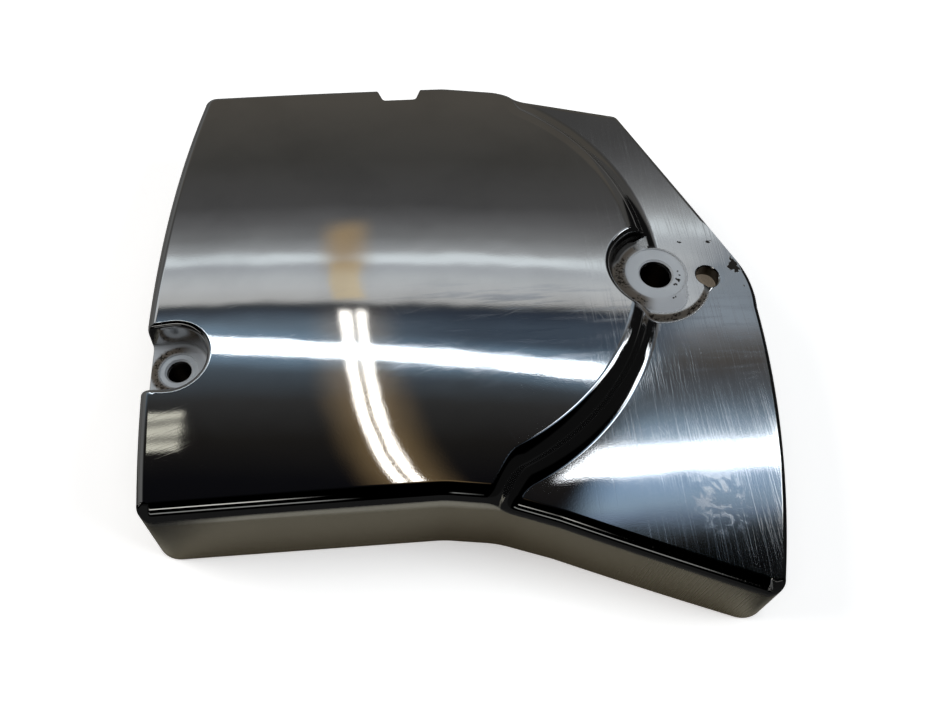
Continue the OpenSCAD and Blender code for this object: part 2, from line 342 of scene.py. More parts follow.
    def step_share(self, distance):
        """Two arcs that meet half way down the step: 0 on the bulge, 1 at its foot."""

        def drop(t):
            return self.step_round - np.sqrt(self.step_round**2 - (np.clip(t, 0, 1) * self.step_w / 2) ** 2)

        t = np.clip(2 * distance / self.step_w, -1, 1)
        whole = 2 * drop(1)
        return np.where(t < 0, drop(t + 1) / whole, 1 - drop(1 - t) / whole)

    def plain_face(self, x, y):
        """Height of the face before its edges, pockets and seats are made."""
        crown = (y - CROWN_MID[1]) ** 2 / CROWN_Y + (x - CROWN_MID[0]) ** 2 / CROWN_X
        raised = self.face_z - crown / 2
        low = self.wing_z + WING_RISE * y - y**2 / (2 * WING_CROWN)
        return mix(raised, low, self.step_share(self.bulge_distance(x, y)))

    def pocket(self, rho, radius, depth):
        """Height above a pocket's floor: flat, fillet, leaning wall, rounded lip."""
        depth = np.maximum(depth, 1e-6)
        fillet = np.minimum(POCKET_FILLET, 0.42 * depth)
        lip = np.minimum(POCKET_LIP, 0.42 * depth)
        foot = radius - POCKET_LEAN + 0 * rho
        u = np.clip((rho - foot) / fillet + math.sin(POCKET_FILLET_TURN), 0, math.sin(POCKET_FILLET_TURN))
        low = fillet * (1 - np.sqrt(1 - u * u))
        wall = mix(low, depth - lip, np.clip((rho - foot) / POCKET_LEAN, 0, 1))
        w = np.clip(1 - (rho - radius) / lip, 0, 1)
        return np.where(rho < radius, wall, depth - lip * (1 - np.sqrt(1 - w * w)))

    def seat(self, r, bore_r, spot_r):
        """Depth of the spot face and the chamfer round a bore."""
        spot = SPOT_DEEP * (1 - np.clip((r - spot_r) / 0.12, 0, 1))
        return spot + CHAMFER * np.clip(1 - (r - bore_r) / CHAMFER, 0, 1)

    def edge_rho(self, x, y):
        dx, dy = x - EDGE_BOLT[0], y - EDGE_BOLT[1]
        return np.where(dx >= 0, np.hypot(dx, dy), np.abs(dy) / mix(1, MOUTH_SHARE, ease(-dx / 5)))

    def face(self, x, y):
        """Height of the outer surface."""
        d, r = self.edge_distance(x, y)
        way_in = np.clip(r * math.cos(SKIRT_LEAN) - d, 0, 0.99995 * r)
        z = self.plain_face(x, y) - (r - np.sqrt(r * r - way_in**2))
        main = np.hypot(x, y)
        pocket = self.pad_z + self.pocket(main, self.main_pocket_r, z - self.pad_z)
        turn = np.degrees(np.arctan2(y, x))
        open_side = ease((turn + 28) / 40)
        start, width = mix(MAIN_PAD_R - 1.2, 9.5, open_side), mix(1.7, 15, open_side)
        low = mix(self.pad_z, z, ease((main - start) / width))
        z = np.where(z > self.pad_z, np.where(main < 18, pocket, z), low)
        z = z - self.seat(main, self.main_bore_r, MAIN_SPOT_R)
        rho = self.edge_rho(x, y)
        floor = self.floor_z - 0.5 * np.clip(1 - d / 0.5, 0, 1) ** 2
        pocket = floor + self.pocket(rho, self.edge_pocket_r, z - floor)
        z = np.where(rho < self.edge_pocket_r + 3, np.where(x < EDGE_BOLT[0] + 15, pocket, z), z)
        bolt = np.hypot(x - EDGE_BOLT[0], y - EDGE_BOLT[1])
        z = z - self.seat(bolt, self.edge_bore_r, EDGE_SPOT_R)
        small = np.hypot(x - SMALL_HOLE[0], y - SMALL_HOLE[1])
        return z - 0.3 * np.clip(1 - (small - self.small_r) / 0.3, 0, 1)

    def inside(self, x, y):
        """Height of the inner surface."""
        d, r = self.edge_distance(x, y)
        r = np.maximum(1, r - self.wall)
        way_in = np.clip(r * math.cos(SKIRT_LEAN) - (d - self.wall), 0, 0.9999 * r)
        z = self.plain_face(x, y) - self.wall - (r - np.sqrt(r * r - way_in**2))
        main_cup = self.pad_z - self.wall + 30 * np.clip(np.hypot(x, y) - self.main_pocket_r - 3, 0, 1)
        edge_cup = self.floor_z - self.wall + 30 * np.clip(self.edge_rho(x, y) - self.edge_pocket_r - 3, 0, 1)
        return np.minimum(np.minimum(z, main_cup), edge_cup)

    def flared(self, p):
        return np.array(FLARE_MID) + (p - FLARE_MID) * FLARE

    def slope_normals(self, x, y):
        """Unit normals of the outer surface, from its slopes.

        The pad was buffed flush with the wing on its open side, so it takes the wing's normals there."""
        e = 0.004
        gx = (self.face(x + e, y) - self.face(x - e, y)) / (2 * e)
        gy = (self.face(x, y + e) - self.face(x, y - e)) / (2 * e)
        plain_x = (self.plain_face(x + e, y) - self.plain_face(x - e, y)) / (2 * e)
        plain_y = (self.plain_face(x, y + e) - self.plain_face(x, y - e)) / (2 * e)
        main = np.hypot(x, y)
        small = np.hypot(x - SMALL_HOLE[0], y - SMALL_HOLE[1])
        flush = ease((np.degrees(np.arctan2(y, x)) + 28) / 40) * (main > MAIN_SPOT_R + 0.4) * (main < 26)
        flush *= (small > self.small_r + 0.35) * (self.plain_face(x, y) < self.pad_z)
        gx, gy = mix(gx, plain_x, flush), mix(gy, plain_y, flush)
        n = np.stack([-gx, -gy, np.ones(len(x))], -1)
        return n / np.linalg.norm(n, axis=1)[:, None]


def triangulate(points, loops):
    """Triangles between points, inside the first of the closed loops and outside the others.

    The loops are ranges of indices. Returns the points that it kept, its triangles, and where
    each given point went."""
    edges = [(loop[i], loop[(i + 1) % len(loop)]) for loop in loops for i in range(len(loop))]
    found = delaunay_2d_cdt([Vector(p) for p in points], edges, [], 0, 1e-5)
    flat = np.array([tuple(v) for v in found[0]])
    triangles = np.array(found[2])
    where = {}
    for new, old in enumerate(found[3]):
        for i in old:
            where[i] = new
    middle = flat[triangles].mean(1)
    keep = within(middle, np.array([points[i] for i in loops[0]]))
    for loop in loops[1:]:
        keep &= ~within(middle, np.array([points[i] for i in loop]))
    triangles = triangles[keep]
    a, b, c = (flat[triangles[:, k]] for k in range(3))
    area = (b[:, 0] - a[:, 0]) * (c[:, 1] - a[:, 1]) - (b[:, 1] - a[:, 1]) * (c[:, 0] - a[:, 0])
    triangles[area < 0] = triangles[area < 0][:, ::-1]
    return flat, triangles, where


def within(points, loop):
    """Which points lie inside a closed loop."""
    a, b = loop, np.roll(loop, -1, 0)
    inside = np.zeros(len(points), bool)
    for i in range(0, len(points), BLOCK):
        block = slice(i, i + BLOCK)
        x, y = points[block, 0, None], points[block, 1, None]
        crosses = (a[:, 1] > y) != (b[:, 1] > y)
        rise = np.where(b[:, 1] == a[:, 1], 1, b[:, 1] - a[:, 1])
        at = a[:, 0] + (y - a[:, 1]) * (b[:, 0] - a[:, 0]) / rise
        inside[block] = (crosses & (x < at)).sum(1) % 2 == 1
    return inside


def hex_grid(low, high, pitch):
    """Points in staggered rows over a rectangle."""
    rows = []
    for k, y in enumerate(np.arange(low[1], high[1], pitch * 0.866)):
        x = np.arange(low[0] + pitch / 2 * (k % 2), high[0], pitch)
        rows.append(np.stack([x, np.full(len(x), y)], -1))
    return np.concatenate(rows)


def edge_pocket_rows(radii, pitch):
    """Rows of points round the edge pocket: half circles that run on straight to the left."""
    rows = []
    for r in radii:
        a = np.linspace(-math.pi / 2, math.pi / 2, 61)
        rows.append(np.stack([EDGE_BOLT[0] + r * np.cos(a), EDGE_BOLT[1] + r * np.sin(a)], -1))
        back = np.arange(pitch, 12, pitch)
        share = mix(1, MOUTH_SHARE, ease(back / 5))
        for side in (1, -1):
            rows.append(np.stack([EDGE_BOLT[0] - back, EDGE_BOLT[1] + side * r * share], -1))
    return np.concatenate(rows)


def face_points(casting):
    """Points of the outer surface, dense where it bends, and its four boundary loops."""
    outline, inward, rounding = casting.outline, casting.inward, casting.edge_round
    main_hole = ring(casting.main_bore_r, 144)
    edge_hole = ring(casting.edge_bore_r, 96, EDGE_BOLT)
    small_hole = ring(casting.small_r, 72, SMALL_HOLE)
    fixed = [outline, main_hole, edge_hole, small_hole]
    rows = []
    for k in range(1, EDGE_STEPS + 1):
        sine = math.sin((math.pi / 2 - SKIRT_LEAN) * (1 - k / EDGE_STEPS))
        way = rounding * (math.cos(SKIRT_LEAN) - sine)
        rows.append(outline + inward * way[:, None])
    way = rounding * math.cos(SKIRT_LEAN)
    rows.append(outline + inward * (way + 0.8)[:, None])
    edge_rows = np.concatenate(rows)
    a = np.radians(np.arange(-98, 84, 0.75))
    steps = []
    for d in np.arange(-5.6, 5.7, 0.4):
        way = casting.step_radius(np.degrees(a)) + d
        steps.append(np.stack([BULGE[0] + way * np.cos(a), BULGE[1] + way * np.sin(a)], -1))
    steps = np.concatenate(steps)
    r = casting.main_pocket_r
    start = r - POCKET_LEAN - POCKET_FILLET
    radii = [casting.main_bore_r + s for s in (0.25, CHAMFER - 0.03, CHAMFER + 0.05, 1.2, 2.2, 3.2)]
    radii += [MAIN_SPOT_R + s for s in (-0.05, 0.02, 0.1, 0.17, 0.6, 1.4, 2.2)]
    radii += [start + s for s in WALL_ROWS]
    radii += [r + s for s in (0, 0.04, 0.15, 0.3, 0.5, 0.75, 1.0, 1.25, 1.45, 1.65, 1.95, 2.3, 2.7, 3.2)]
    main_rings = np.concatenate([ring(k, 144) for k in radii])
    small_rings = np.concatenate([ring(casting.small_r + s, 72, SMALL_HOLE) for s in (0.15, 0.28, 0.36, 0.7)])
    bore = casting.edge_bore_r
    edge_radii = [bore + s for s in (0.25, CHAMFER - 0.03, CHAMFER + 0.05, 1.1)]
    edge_radii += [EDGE_SPOT_R + s for s in (-0.05, 0.02, 0.1, 0.17, 0.7)]
    edge_circles = np.concatenate([ring(k, 96, EDGE_BOLT) for k in edge_radii])
    edge_lines = edge_pocket_rows([6.4] + casting.edge_rings(), 0.7)
    low, high = outline.min(0), outline.max(0)
    grid = hex_grid(low, high, 2.2)

    def clear(points, keep_edge, from_main, from_edge, from_step):
        """Leaves out the points that another family of points covers."""
        d, edge = casting.edge_distance(points[:, 0], points[:, 1])
        main = np.hypot(*points.T)
        rho = casting.edge_rho(*points.T)
        near_edge_pocket = (rho < from_edge) & (points[:, 0] < EDGE_BOLT[0] + 14)
        small = np.hypot(points[:, 0] - SMALL_HOLE[0], points[:, 1] - SMALL_HOLE[1])
        ok = (d > edge + keep_edge) & (main > from_main) & ~near_edge_pocket
        ok &= small > casting.small_r + (0.8 if from_main else 0.45)
        if from_step:
            ok &= np.abs(casting.bulge_distance(*points.T)) > from_step
        return points[ok]

    steps = clear(steps, 0.9, casting.main_pocket_r + 3.5, casting.edge_pocket_r + 2, 0)
    grid = clear(grid, 1.5, casting.main_pocket_r + 4.2, casting.edge_pocket_r + 2.2, 6.4)
    main_rings = clear(main_rings, 0.5, 0, 0, 0)
    edge_lines = clear(edge_lines, 0.9, 1, 0, 0)
    edge_circles = clear(edge_circles, -2.6, 1, 0, 0)
    d, _ = casting.edge_distance(edge_rows[:, 0], edge_rows[:, 1])
    bolt = np.hypot(edge_rows[:, 0] - EDGE_BOLT[0], edge_rows[:, 1] - EDGE_BOLT[1])
    edge_rows = edge_rows[(d > 0.003) & (bolt > EDGE_SPOT_R + 0.3)]
    families = [edge_rows, steps, main_rings, small_rings, edge_circles, edge_lines, grid]
    return fixed, np.concatenate(families)


def inside_points(casting):
    """Points of the inner surface and its four boundary loops, which pair with the outer ones."""
    outline = casting.outline + casting.inward * casting.wall
    main = ring(casting.main_bore_r, 144)
    edge = ring(casting.edge_bore_r, 96, EDGE_BOLT)
    small = ring(casting.small_r, 72, SMALL_HOLE)
    rows = [outline + casting.inward * s for s in (0.25, 0.7, 1.4, 2.3, 3.2)]
    rows.append(np.concatenate([ring(casting.main_pocket_r + s, 96) for s in (2.9, 3.05, 3.2)]))
    rows.append(edge_pocket_rows([casting.edge_pocket_r + s for s in (2.9, 3.05, 3.2)], 1.2))
    rows.append(hex_grid(outline.min(0), outline.max(0), 2.6))
    points = np.concatenate(rows)
    d, _ = casting.edge_distance(points[:, 0], points[:, 1])
    clear = d > casting.wall + 0.15
    holes = (((0, 0), casting.main_bore_r), (EDGE_BOLT, casting.edge_bore_r), (SMALL_HOLE, casting.small_r))
    for centre, radius in holes:
        clear &= np.hypot(points[:, 0] - centre[0], points[:, 1] - centre[1]) > radius + 0.3
    return [outline, main, edge, small], points[clear]


def shell_geometry(casting):
    """Vertices, faces and material indices of the whole casting, before the notch."""
    vertices, faces, materials = [], [], []

    def add(points, z):
        first = sum(len(v) for v in vertices)
        vertices.append(np.column_stack([points, np.broadcast_to(z, len(points))]))
        return np.arange(first, first + len(points))

    def surface(fixed, others, height, upwards, material):
        sizes = np.cumsum([0] + [len(f) for f in fixed])
        loops = [list(range(sizes[k], sizes[k + 1])) for k in range(len(fixed))]
        points = np.concatenate(fixed + [others])
        flat, triangles, where = triangulate(points, loops)
        used, compact = np.unique(triangles, return_inverse=True)
        index = add(flat[used], height(*flat[used].T))
        triangles = index[compact.reshape(triangles.shape)]
        faces.extend((triangles if upwards else triangles[:, ::-1]).tolist())
        materials.extend([material] * len(triangles))
        place = {int(u): int(i) for u, i in zip(used, index)}
        return [[place[where[i]] for i in loop] for loop in loops]

    def wall(a, b, material):
        """Quads between two loops of one length, facing outwards where a lies above b."""
        n = len(a)
        for i in range(n):
            j = (i + 1) % n
            faces.append([int(a[i]), int(b[i]), int(b[j]), int(a[j])])
            materials.append(material)

    face_loops = surface(*face_points(casting), casting.face, True, 0)
    under_loops = surface(*inside_points(casting), casting.inside, False, 1)
    foot = add(casting.flared(casting.rim), 0.35)
    rim_out = add(casting.flared(casting.rim + casting.rim_inward * 0.3), 0.0)
    rim_in = add(casting.flared(casting.rim + casting.rim_inward * casting.wall), 0.0)
    top, low = (np.concatenate(vertices)[loop] for loop in (face_loops[0], foot))
    upper_loop = face_loops[0]
    for share in (0.04, 0.08, 0.12, 0.16, 0.2, 0.25, 0.32, 0.4, 0.55, 0.7, 0.85):
        row = mix(top, low, share)
        lower_loop = add(row[:, :2], row[:, 2])
        wall(upper_loop, lower_loop, 0)
        upper_loop = lower_loop
    wall(upper_loop, foot, 0)
    wall(foot, rim_out, 1)
    wall(rim_out, rim_in, 1)
    wall(rim_in, under_loops[0], 1)
    for k in (1, 2, 3):
        wall(under_loops[k], face_loops[k], 2)
    return np.concatenate(vertices), faces, materials


def combine(cover, tool, operation):
    """Joins a closed piece to the cover or cuts it out, then deletes it."""
    activate(cover)
    change = cover.modifiers.new(tool.name, "BOOLEAN")
    change.operation, change.solver, change.object = operation, "EXACT", tool
    bpy.ops.object.modifier_apply(modifier=change.name)
    bpy.data.objects.remove(tool)


def add_post(cover, centre, outer_r, bore_r, top, count):
    """Stands a bored post under a seat, reaching down to the rim's plane."""
    outer = [(outer_r, top), (outer_r, 0.3), (outer_r - 0.3, 0)]
    rows = outer + [(bore_r + 0.3, 0), (bore_r, 0.3), (bore_r, top)]
    points = np.concatenate([np.column_stack([ring(r, count, centre), np.full(count, z)]) for r, z in rows])
    faces, slots = [], []
    for k in range(len(rows)):
        a, b = k * count, (k + 1) % len(rows) * count
        for i in range(count):
            j = (i + 1) % count
            faces.append([a + i, b + i, b + j, a + j])
            slots.append(2 if k in (3, 4) else 1)
    mesh = bpy.data.meshes.new("post")
    mesh.from_pydata((points * MM).tolist(), [], faces)
    for material in cover.data.materials:
        mesh.materials.append(material)
    mesh.polygons.foreach_set("material_index", slots)
    post = bpy.data.objects.new("post", mesh)
    bpy.context.scene.collection.objects.link(post)
    combine(cover, post, "UNION")


def cut_notch(cover):
    """Cuts the notch with a wedge-sided block."""
    inner_y = UPPER_EDGE_Y - NOTCH_DEEP
    size = (NOTCH_W * MM, 3 * NOTCH_DEEP * MM, 0.1)
    middle = (NOTCH_X * MM, (inner_y + 1.5 * NOTCH_DEEP) * MM, 0.03)
    bpy.ops.mesh.primitive_cube_add(size=1, location=middle, scale=size)
    block = bpy.context.object
    bpy.ops.object.transform_apply(location=True, rotation=True, scale=True)
    outer = (UPPER_EDGE_Y + 2 * NOTCH_DEEP) * MM - 0.0001
    lean = NOTCH_LEAN * MM * 3
    for v in block.data.vertices:
        if v.co.y > outer:
            v.co.x += lean if v.co.x > NOTCH_X * MM else -lean
    bpy.ops.object.mode_set(mode="EDIT")
    bpy.ops.mesh.select_all(action="DESELECT")
    bpy.ops.object.mode_set(mode="OBJECT")
    for e in block.data.edges:
        a, b = (block.data.vertices[i].co for i in e.vertices)
        upright = abs(a.x - b.x) + abs(a.y - b.y) < 1e-6
        e.select = upright and a.y < outer
    bpy.ops.object.mode_set(mode="EDIT")
    bpy.ops.mesh.bevel(offset=0.9 * MM, segments=5)
    bpy.ops.object.mode_set(mode="OBJECT")
    combine(cover, block, "DIFFERENCE")


def activate(obj):
    """Makes an object the only selected one."""
    bpy.ops.object.select_all(action="DESELECT")
    obj.select_set(True)
    bpy.context.view_layer.objects.active = obj


def set_normals(cover, casting):
    """Gives the face the exact normals of its surface; the rest keeps smooth or sharp ones."""
    mesh = cover.data
    activate(cover)
    bpy.ops.object.shade_smooth_by_angle(angle=math.radians(32))
    co = np.zeros(len(mesh.vertices) * 3)
    mesh.vertices.foreach_get("co", co)
    co = co.reshape(-1, 3) / MM
    x, y = co[:, 0], co[:, 1]
    d, _ = casting.edge_distance(x, y)
    on_face = (np.abs(casting.face(x, y) - co[:, 2]) < 0.08) & (d > -0.02) & (co[:, 2] > 24)
    normals = np.zeros((len(co), 3))
    normals[on_face] = casting.slope_normals(x[on_face], y[on_face])
    corner = np.zeros(len(mesh.loops), np.int32)
    mesh.loops.foreach_get("vertex_index", corner)
    slot = np.zeros(len(mesh.polygons), np.int32)
    mesh.polygons.foreach_get("material_index", slot)
    total = np.zeros(len(mesh.polygons), np.int32)
    mesh.polygons.foreach_get("loop_total", total)
    face_normal = np.zeros(len(mesh.polygons) * 3)
    mesh.polygons.foreach_get("normal", face_normal)
    upwards = face_normal.reshape(-1, 3)[:, 2] > 0.02
    whole = np.repeat((slot == 0) & upwards, total)
    first = np.concatenate([[0], np.cumsum(total)[:-1]])
    all_on = np.repeat(np.minimum.reduceat(on_face[corner].astype(int), first) > 0, total)
    wanted = np.where((whole & all_on)[:, None], normals[corner], 0)
    mesh.normals_split_custom_set(wanted.tolist())
    return co, d


def set_masks(cover, casting, co, d):
    """Stores where the face is machined or dirty, and the walls that are painted with shade, for the
    materials.
    """
    x, y, z = co.T
    main, rho = np.hypot(x, y), casting.edge_rho(x, y)
    bolt = np.hypot(x - EDGE_BOLT[0], y - EDGE_BOLT[1])
    turn = np.degrees(np.arctan2(y, x))
    edge_turn = np.degrees(np.arctan2(y - EDGE_BOLT[1], x - EDGE_BOLT[0]))
    in_mouth = x < EDGE_BOLT[0] + 12
    main_r, edge_r = casting.main_pocket_r, casting.edge_pocket_r
    pad_r = mix(main_r, 9.4, eased(turn, -75, 50) * eased(turn, 125, -30))
    pad = eased(main, pad_r, -0.9) * eased(z, casting.pad_z + 0.45, -0.3)
    floor = eased(rho, edge_r - 0.7, -0.6) * in_mouth * eased(z, 24, 0.5)
    ring_main = eased(main, casting.main_bore_r, 0.2) * eased(main, MAIN_SPOT_R + 0.5, -1.4)
    ring_edge = eased(bolt, casting.edge_bore_r, 0.2) * eased(bolt, EDGE_SPOT_R + 0.1, -0.2)
    # Painted shade: the steep pocket walls are painted near black
    main_wall_shade = eased(main, 12, 1) * eased(main, main_r + 0.3, -0.4) * eased(z, casting.pad_z + 0.25, 0.5)
    edge_wall_shade = eased(rho, 7.4, 1) * eased(rho, edge_r + 0.3, -0.4) * eased(z, casting.floor_z + 0.25, 0.5)
    # Painted shade: the pocket's deep upper left corner is painted as dark as its own wall, which is all that
    # it reflects
    hollow_shade_r = 12.8 - 1.9 * eased(turn, 92, 25) * eased(turn, 180, -35)
    hollow_shade = eased(main, hollow_shade_r, 0.7) * eased(main, main_r + 0.2, -0.4)
    hollow_shade *= eased(turn, 88, 12) * eased(turn, 180, -25)
    # Dirt gathers in the corner under each pocket's wall, and below the pad
    crescent = eased(main, 8.8, 0.7) * eased(main, 13.4, -0.5) * eased(np.abs(turn), 98, 25)
    arc = eased(main, 14, 0.5) * eased(main, 16.4, -0.7) * eased(turn, -128, 12) * eased(turn, -20, -12)
    edge_crescent = eased(bolt, 5.1, 0.4) * eased(bolt, 7.6, -0.5) * eased(np.abs(edge_turn), 55, 40)
    # The skirt's satin starts a little below the lower edge's rounding
    satin_top = mix(28.5, 26.4, eased(y, -45, -12) * eased(x, 20, -30))
    masks = {
        "seat": np.maximum(pad, floor),
        "spot": np.maximum(ring_main, ring_edge),
        # Painted shade: the pocket walls and the deep corner are painted near black
        "wall": np.maximum(0.95 * np.maximum(main_wall_shade, hollow_shade), 0.5 * edge_wall_shade * in_mouth),
        "skirt": eased(d, 0.2, -0.2) * eased(z, satin_top, -1.3),
        "grime": np.maximum(np.maximum(crescent * (1 - hollow_shade), arc), edge_crescent * (z > 24)),
    }
    for name in MASKS:
        layer = cover.data.attributes.new(name, "FLOAT", "POINT")
        layer.data.foreach_set("value", np.ascontiguousarray(masks[name], np.float32))


# Materials


def linked(tree, socket, value):
    """Sets a socket to a number or colour, or links it to another node's output."""
    if isinstance(value, bpy.types.NodeSocket):
        tree.links.new(value, socket)
    elif isinstance(value, (int, float)) and socket.type in ("VECTOR", "RGBA"):
        socket.default_value = [value] * len(socket.default_value)
    else:
        socket.default_value = value


def node(tree, kind, inputs=None, **settings):
    made = tree.nodes.new(kind)
    for name, value in settings.items():
        setattr(made, name, value)
    for name, value in (inputs or {}).items():
        linked(tree, made.inputs[name], value)
    return made


def maths(tree, operation, *values):
    """A maths node; more than two values are taken one after the other."""
    if len(values) > 2:
        values = (maths(tree, operation, *values[:-1]), values[-1])
    return node(tree, "ShaderNodeMath", dict(enumerate(values)), operation=operation).outputs[0]


def times(tree, *values):
    return maths(tree, "MULTIPLY", *values)


def plus(tree, *values):
    return maths(tree, "ADD", *values)


def minus(tree, *values):
    return maths(tree, "SUBTRACT", *values)


def most(tree, *values):
    return maths(tree, "MAXIMUM", *values)


def blend_colour(tree, factor, a, b, kind="MIX"):
    """Mixes two colours; a colour that is given as numbers has no fourth one for its opacity."""
    a, b = ((*c, 1) if isinstance(c, tuple) else c for c in (a, b))
    inputs = {0: factor, 6: a, 7: b}
    return node(tree, "ShaderNodeMix", inputs, data_type="RGBA", blend_type=kind).outputs[2]


def ramp(tree, factor, stops, reach=1.0):
    """Colours or greys by a factor that runs from 0 to reach."""
    if reach != 1:
        factor = maths(tree, "DIVIDE", factor, reach)
    made = node(tree, "ShaderNodeValToRGB", {0: factor})
    elements = made.color_ramp.elements
    while len(elements) < len(stops):
        elements.new(0.5)
    for element, (place, colour) in zip(elements, stops):
        element.position = place / reach
        element.color = (*colour, 1) if isinstance(colour, tuple) else (colour, colour, colour, 1)
    return made.outputs[0]


def remap(tree, value, low, high, to_low=0.0, to_high=1.0, kind="SMOOTHSTEP"):
    inputs = dict(enumerate((value, low, high, to_low, to_high)))
    return node(tree, "ShaderNodeMapRange", inputs, interpolation_type=kind).outputs[0]


def noise(tree, where, scale, detail=2.0, **inputs):
    inputs = {"Vector": where, "Scale": scale, "Detail": detail, **inputs}
    return node(tree, "ShaderNodeTexNoise", inputs).outputs["Fac"]


def vector(tree, operation, *values):
    return node(tree, "ShaderNodeVectorMath", dict(enumerate(values)), operation=operation).outputs


def axes(tree, place):
    return node(tree, "ShaderNodeSeparateXYZ", {0: place}).outputs


def relief(tree, height, strength, distance, **below):
    inputs = {"Height": height, "Strength": strength, "Distance": distance, **below}
    return node(tree, "ShaderNodeBump", inputs).outputs[0]


def metal(name):
    """A new material, its node tree, its shader's inputs and the place on the part in metres."""
    material = bpy.data.materials.new(name)
    material.use_nodes = True
    tree = material.node_tree
    place = node(tree, "ShaderNodeTexCoord").outputs["Object"]
    return material, tree, tree.nodes["Principled BSDF"].inputs, place


def mask(tree, name):
    return node(tree, "ShaderNodeAttribute", attribute_name=name).outputs["Fac"]


def near(tree, place, centre, radius, soft):
    """1 near a point of the part, in millimetres, fading out over soft."""
    away = vector(tree, "DISTANCE", place, tuple(c * MM for c in centre))["Value"]
    return remap(tree, away, (radius + soft) * MM, radius * MM)


def hair_lines(tree, place, turn, fineness, length, cover):
    """Hair lines along one direction: thin, broken, and unevenly spread."""
    turned = node(tree, "ShaderNodeVectorRotate", {"Vector": place, "Angle": turn}).outputs[0]
    fine = noise(tree, vector(tree, "MULTIPLY", turned, (fineness, length, 40.0))[0], 1.0, 1.0)
    spread = remap(tree, noise(tree, turned, 45.0), 0.38, 0.62)
    return times(tree, remap(tree, fine, cover, 0.8), spread)


def polished_material(finish):
    """Polished aluminium with hair lines, haze, machined seats, dirt where it gathers, pocket walls painted
    near black as painted shade, and smears with a painted bluish reflection.
    """
    material, tree, surface, place = metal("Polished aluminium")
    seat, spot, wall, skirt, grime = (mask(tree, name) for name in MASKS)
    apart = axes(tree, place)
    wing = remap(tree, apart["X"], -0.035, -0.012)
    brushed = vector(tree, "MULTIPLY", place, (2600.0, 32.0, 32.0))[0]
    brush = remap(tree, noise(tree, brushed, 1.0, 3.0), 0.48, 0.74)
    upright = hair_lines(tree, place, 0.06, 3800.0, 45.0, 0.5)
    on_wing = times(tree, most(tree, brush, upright), wing)
    crossed = hair_lines(tree, place, 1.25, 3600.0, 70.0, 0.62)
    slanted = hair_lines(tree, place, -0.5, 3000.0, 90.0, 0.66)
    scratch = times(tree, most(tree, crossed, slanted), minus(tree, 1.0, seat))
    cloud = noise(tree, place, 30.0, 5.0)
    haze = remap(tree, cloud, 0.42, 0.72)
    # Smears left by the polishing mop, along X on the bulge: they roughen the polish, and their blue-grey
    # tint below is a painted bluish reflection
    drawn = vector(tree, "MULTIPLY", place, (70.0, 620.0, 70.0))[0]
    smear = remap(tree, noise(tree, drawn, 1.0, 4.0), 0.46, 0.72)
    for axis, low, high in (("Y", -0.040, -0.026), ("Y", 0.0, -0.012), ("X", -0.11, -0.05)):
        smear = times(tree, smear, remap(tree, apart[axis], low, high))
    # Chips have ragged edges, so the places that they are tested at are jittered
    jitter = node(tree, "ShaderNodeTexNoise", {"Vector": place, "Scale": 900.0}).outputs["Color"]
    shift = vector(tree, "SUBTRACT", jitter, (0.5, 0.5, 0.5))[0]
    shifted = vector(tree, "MULTIPLY_ADD", shift, (0.0022, 0.0022, 0.0022), place)[0]
    chips = most(tree, *(near(tree, shifted, chip[:3], chip[3], 0.12) for chip in CHIPS))
    turned = noise(tree, place, 160.0, 3.0, Distortion=3.0)
    swirl = times(tree, near(tree, place, SWIRL, 4, 6), remap(tree, turned, 0.45, 0.6))
    grains = remap(tree, noise(tree, place, 1400.0, 5.0, Roughness=0.7), 0.5, 0.66)
    patches = remap(tree, noise(tree, place, 220.0, 3.0), 0.42, 0.6)
    specks = remap(tree, times(tree, grains, patches), 0.0, 0.16)
    dirty = most(tree, times(tree, grime, plus(tree, times(tree, specks, 0.1), 0.9)), chips)

    clean = blend_colour(tree, haze, tuple(finish.metal), tuple(finish.haze))
    # Painted reflection: the smears tint the metal blue-grey, standing in for a bluish reflection
    smear_reflection_tint = times(tree, smear, minus(tree, 0.6, times(tree, wing, 0.5)))
    clean = blend_colour(tree, smear_reflection_tint, clean, (0.40, 0.46, 0.55))
    turning = remap(tree, cloud, 0.35, 0.65)
    machined = blend_colour(tree, turning, (0.52, 0.55, 0.59), (0.68, 0.71, 0.74))
    cut = blend_colour(tree, turning, (0.56, 0.60, 0.64), (0.71, 0.75, 0.79))
    dust = blend_colour(tree, specks, (0.13, 0.10, 0.068), (0.015, 0.011, 0.008))
    dust = blend_colour(tree, chips, dust, (0.02, 0.018, 0.016))
    worn_and_shaded = clean
    for part, colour in (
        (seat, machined),
        # Painted shade: the pocket walls are painted near black
        (wall, (0.03, 0.027, 0.024)),
        (spot, cut),
        (skirt, (0.56, 0.53, 0.46)),
        (dirty, dust),
    ):
        worn_and_shaded = blend_colour(tree, part, worn_and_shaded, colour)
    linked(tree, surface["Base Color"], worn_and_shaded)

    rough = remap(tree, haze, 0.0, 1.0, finish.polish, finish.polish + 0.025, "LINEAR")
    for amount, part in (
        (0.04, scratch),
        (0.06, on_wing),
        (0.03, wing),
        (0.05, smear),
        (0.12, swirl),
        (0.30, seat),
        (0.2, wall),
        (0.4, dirty),
        (finish.skirt_rough, skirt),
    ):
        rough = plus(tree, rough, times(tree, part, amount))
    linked(tree, surface["Roughness"], maths(tree, "MINIMUM", rough, 0.9))
    matte = most(tree, seat, spot, dirty, times(tree, skirt, 0.35))
    linked(tree, surface["Metallic"], remap(tree, matte, 0.0, 1.0, 1.0, 0.3, "LINEAR"))

    wave = relief(tree, noise(tree, place, 38.0), finish.waviness, 0.001)
    grain = times(tree, noise(tree, place, 2400.0, 3.0), most(tree, seat, dirty, 0.035))
    marks = most(tree, times(tree, scratch, finish.scratches), times(tree, on_wing, 0.6))
    fine = plus(tree, grain, times(tree, marks, -0.10))
    linked(tree, surface["Normal"], relief(tree, fine, 0.35, 0.00012, Normal=wave))
    return material


